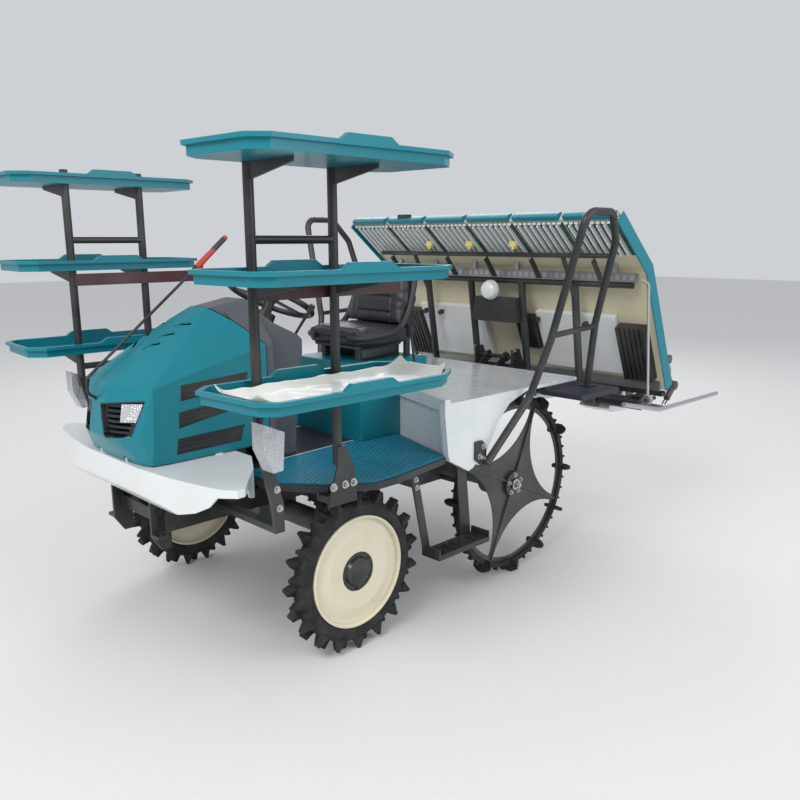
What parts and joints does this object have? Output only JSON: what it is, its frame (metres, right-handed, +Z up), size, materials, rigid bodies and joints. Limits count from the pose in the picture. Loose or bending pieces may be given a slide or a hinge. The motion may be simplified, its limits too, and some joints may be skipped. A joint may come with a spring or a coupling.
{
  "type": "rice transplanter",
  "caption": "Riding rice transplanter: four lugged wheels, bonnet, footboard, seat, spare seedling racks and a raised rear planting unit with sliding tray and rotary arms",
  "frame": {"origin": "on the floor, at the middle of the bounding box", "axes": "+Z up, -Y towards the front of the machine, +X towards its left side"},
  "size_m": [2.078, 3.063, 1.899],
  "materials": {
    "black_steel": "satin black paint",
    "grey_iron": "painted dark grey casting",
    "engine_grey": "plain grey block",
    "teal_plastic": "glossy moulded teal",
    "teal_dark": "dark teal paint",
    "white_plastic": "glossy white",
    "cream_metal": "cream paint",
    "cream_plastic": "matt cream",
    "grey_plastic": "grained dark grey",
    "black_plastic": "matt black",
    "mat_teal": "studded teal mat",
    "mat_dark": "studded dark mat",
    "tyre_black": "matt black rubber",
    "seat_vinyl": "pleated black vinyl",
    "steel": "bare steel",
    "aluminium": "cast aluminium",
    "lamp_glass": "clear lens",
    "maroon": "dark red paint"
  },
  "bodies": {
    "chassis": {"chassis_frame": "black_steel", "engine_block": "engine_grey", "front_axle": "grey_iron", "rear_axle": "grey_iron", "bumper": "white_plastic", "dash_cowl": "grey_plastic", "steering_column": "black_plastic", "control_levers": "black_plastic", "footboard": "black_steel", "footboard_mats": "mat_teal", "inner_mats": "mat_dark", "side_steps": "black_steel", "seat_base": "teal_dark", "seat_cushion": "seat_vinyl", "seat_back": "seat_vinyl", "rear_deck": "white_plastic", "rear_steps": "mat_dark", "handrails": "black_steel", "rack_posts": "black_steel", "spare_trays": "teal_plastic", "rack_guards": "maroon", "side_lamps": "black_plastic", "lift_cylinder": "black_steel"},
    "bonnet": {"hood": "teal_plastic", "hood_grilles": "black_plastic", "headlamps": "lamp_glass", "centre_marker": "black_steel"},
    "steering_wheel": {"steering_wheel": "black_plastic"},
    "knuckle_left": {"knuckle_left": "grey_iron"},
    "knuckle_right": {"knuckle_right": "grey_iron"},
    "front_wheel_left": {"front_tyre_left": "tyre_black", "front_disc_left": "cream_metal", "front_hub_left": "black_steel"},
    "front_wheel_right": {"front_tyre_right": "tyre_black", "front_disc_right": "cream_metal", "front_hub_right": "black_steel"},
    "rear_wheel_left": {"rear_web_left": "black_steel", "rear_paddles_left": "tyre_black"},
    "rear_wheel_right": {"rear_web_right": "black_steel", "rear_paddles_right": "tyre_black"},
    "lower_link": {"lower_link": "black_steel"},
    "upper_link": {"upper_link": "black_steel"},
    "lift_rod": {"lift_rod": "steel"},
    "planting_unit": {"planting_frame": "black_steel", "planting_cases": "grey_iron", "floats": "white_plastic", "unit_guards": "steel", "centre_lamp": "white_plastic"},
    "tray": {"seedling_tray": "cream_plastic", "tray_edges": "teal_plastic", "tray_slats": "white_plastic", "tray_panels": "white_plastic", "tray_belts": "tyre_black", "tray_rails": "aluminium", "feed_covers": "black_plastic"},
    "rotors": {"rotors": "aluminium"},
    "arms_a": {"arms_a": "grey_iron"},
    "arms_b": {"arms_b": "grey_iron"},
    "marker_left": {"marker_left": "steel"},
    "marker_right": {"marker_right": "steel"}
  },
  "joints": [
    {"name": "bonnet_hinge", "type": "hinge", "parent": "chassis", "child": "bonnet", "pos_m": [0, -1.43855, 0.806], "axis": [1, 0, 0], "range_deg": [0, 50]},
    {"name": "steering", "type": "hinge", "parent": "chassis", "child": "steering_wheel", "pos_m": [0, -0.70155, 1.345], "axis": [0, 0.4472, 0.8944], "range_deg": [-350, 350]},
    {"name": "kingpin_left", "type": "hinge", "parent": "chassis", "child": "knuckle_left", "pos_m": [0.515, -0.78655, 0.47], "axis": [0, 0, 1], "range_deg": [-35, 35]},
    {"name": "kingpin_right", "type": "hinge", "parent": "chassis", "child": "knuckle_right", "pos_m": [-0.515, -0.78655, 0.47], "axis": [0, 0, 1], "range_deg": [-35, 35]},
    {"name": "front_left_spin", "type": "hinge", "parent": "knuckle_left", "child": "front_wheel_left", "pos_m": [0.618, -0.78655, 0.325], "axis": [1, 0, 0], "continuous": true},
    {"name": "front_right_spin", "type": "hinge", "parent": "knuckle_right", "child": "front_wheel_right", "pos_m": [-0.618, -0.78655, 0.325], "axis": [1, 0, 0], "continuous": true},
    {"name": "rear_left_spin", "type": "hinge", "parent": "chassis", "child": "rear_wheel_left", "pos_m": [0.6, 0.24345, 0.45], "axis": [1, 0, 0], "continuous": true},
    {"name": "rear_right_spin", "type": "hinge", "parent": "chassis", "child": "rear_wheel_right", "pos_m": [-0.6, 0.24345, 0.45], "axis": [1, 0, 0], "continuous": true},
    {"name": "lift", "type": "hinge", "parent": "chassis", "child": "lower_link", "pos_m": [0, 0.35345, 0.4], "axis": [-1, 0, 0], "range_deg": [0, 55]},
    {"name": "upper_link_pin", "type": "hinge", "parent": "chassis", "child": "upper_link", "pos_m": [0, 0.35345, 0.59], "axis": [-1, 0, 0], "range_deg": [0, 55]},
    {"name": "lift_rod_slide", "type": "slide", "parent": "chassis", "child": "lift_rod", "axis": [0, 1, 0], "range_m": [0, 0.12005]},
    {"name": "hitch_pin", "type": "hinge", "parent": "lower_link", "child": "planting_unit", "pos_m": [0, 0.86132, 0.75562], "axis": [-1, 0, 0], "range_deg": [-55, 0]},
    {"name": "tray_shift", "type": "slide", "parent": "planting_unit", "child": "tray", "axis": [1, 0, 0], "range_m": [-0.13, 0.13]},
    {"name": "rotor_spin", "type": "hinge", "parent": "planting_unit", "child": "rotors", "pos_m": [0, 1.40145, 0.878], "axis": [1, 0, 0], "continuous": true},
    {"name": "arm_a_pin", "type": "hinge", "parent": "rotors", "child": "arms_a", "pos_m": [0, 1.44645, 0.80006], "axis": [1, 0, 0], "continuous": true},
    {"name": "arm_b_pin", "type": "hinge", "parent": "rotors", "child": "arms_b", "pos_m": [0, 1.35645, 0.95594], "axis": [1, 0, 0], "continuous": true},
    {"name": "line_marker_left", "type": "hinge", "parent": "planting_unit", "child": "marker_left", "pos_m": [0.946, 0.87132, 0.81962], "axis": [0, 1, 0], "range_deg": [0, 85]},
    {"name": "line_marker_right", "type": "hinge", "parent": "planting_unit", "child": "marker_right", "pos_m": [-0.946, 0.87132, 0.81962], "axis": [0, -1, 0], "range_deg": [0, 85]}
  ],
  "couplings": [
    {"joint": "kingpin_left", "follows": "steering", "ratio": 0.1},
    {"joint": "kingpin_right", "follows": "steering", "ratio": 0.1},
    {"joint": "upper_link_pin", "follows": "lift", "ratio": 1},
    {"joint": "hitch_pin", "follows": "lift", "ratio": -1},
    {"joint": "lift_rod_slide", "follows": "lift", "m_per_rad": 0.12507},
    {"joint": "arm_a_pin", "follows": "rotor_spin", "ratio": -1},
    {"joint": "arm_b_pin", "follows": "rotor_spin", "ratio": -1}
  ]
}
